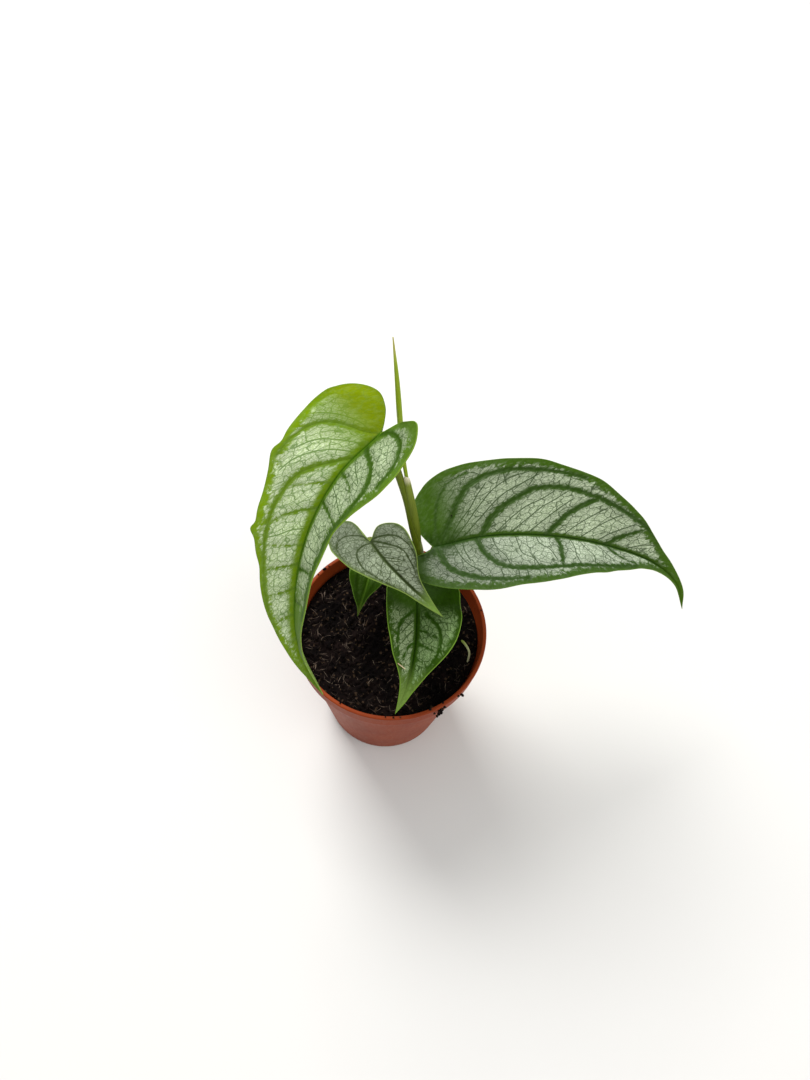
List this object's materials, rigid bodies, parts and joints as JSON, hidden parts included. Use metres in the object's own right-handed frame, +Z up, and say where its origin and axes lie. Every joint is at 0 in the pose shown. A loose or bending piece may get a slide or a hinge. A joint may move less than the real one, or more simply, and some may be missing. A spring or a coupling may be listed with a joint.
{
  "type": "potted monstera siltepecana",
  "caption": "Young silver-leaved climbing aroid in a small round nursery pot: heart-shaped veined leaves on thin stalks, with a rolled new leaf. Stands on its foot.",
  "frame": {"origin": "centre of the pot's foot, on the surface that it stands on", "axes": "+Z up along the pot's axis; -Y to the front, where the front leaf hangs over the rim; +X to the right, where the right leaf reaches out"},
  "size_m": [0.1268, 0.0734, 0.1704],
  "materials": {
    "pot_plastic": "matt terracotta-brown plastic",
    "soil": "dark damp peat with pale fibres",
    "stem": "smooth olive stem with rings",
    "young_leaf": "satin leaf, lime with pale silver panels",
    "silver_green_leaf": "satin leaf, dark green with silver panels",
    "silver_leaf": "satin leaf, grey silver with dark veins",
    "green_leaf": "glossy leaf, mid green with silver marks",
    "dark_leaf": "satin dark green leaf",
    "rolled_leaf": "smooth yellow-green rolled leaf",
    "seedling": "pale soft sprout"
  },
  "bodies": {
    "root": {"pot": "pot_plastic", "soil": "soil", "stem": "stem", "leaf_left": "young_leaf", "leaf_right": "silver_green_leaf", "leaf_silver": "silver_leaf", "leaf_front": "green_leaf", "leaf_small": "dark_leaf", "new_leaf": "rolled_leaf", "seedling": "seedling"}
  },
  "joints": []
}
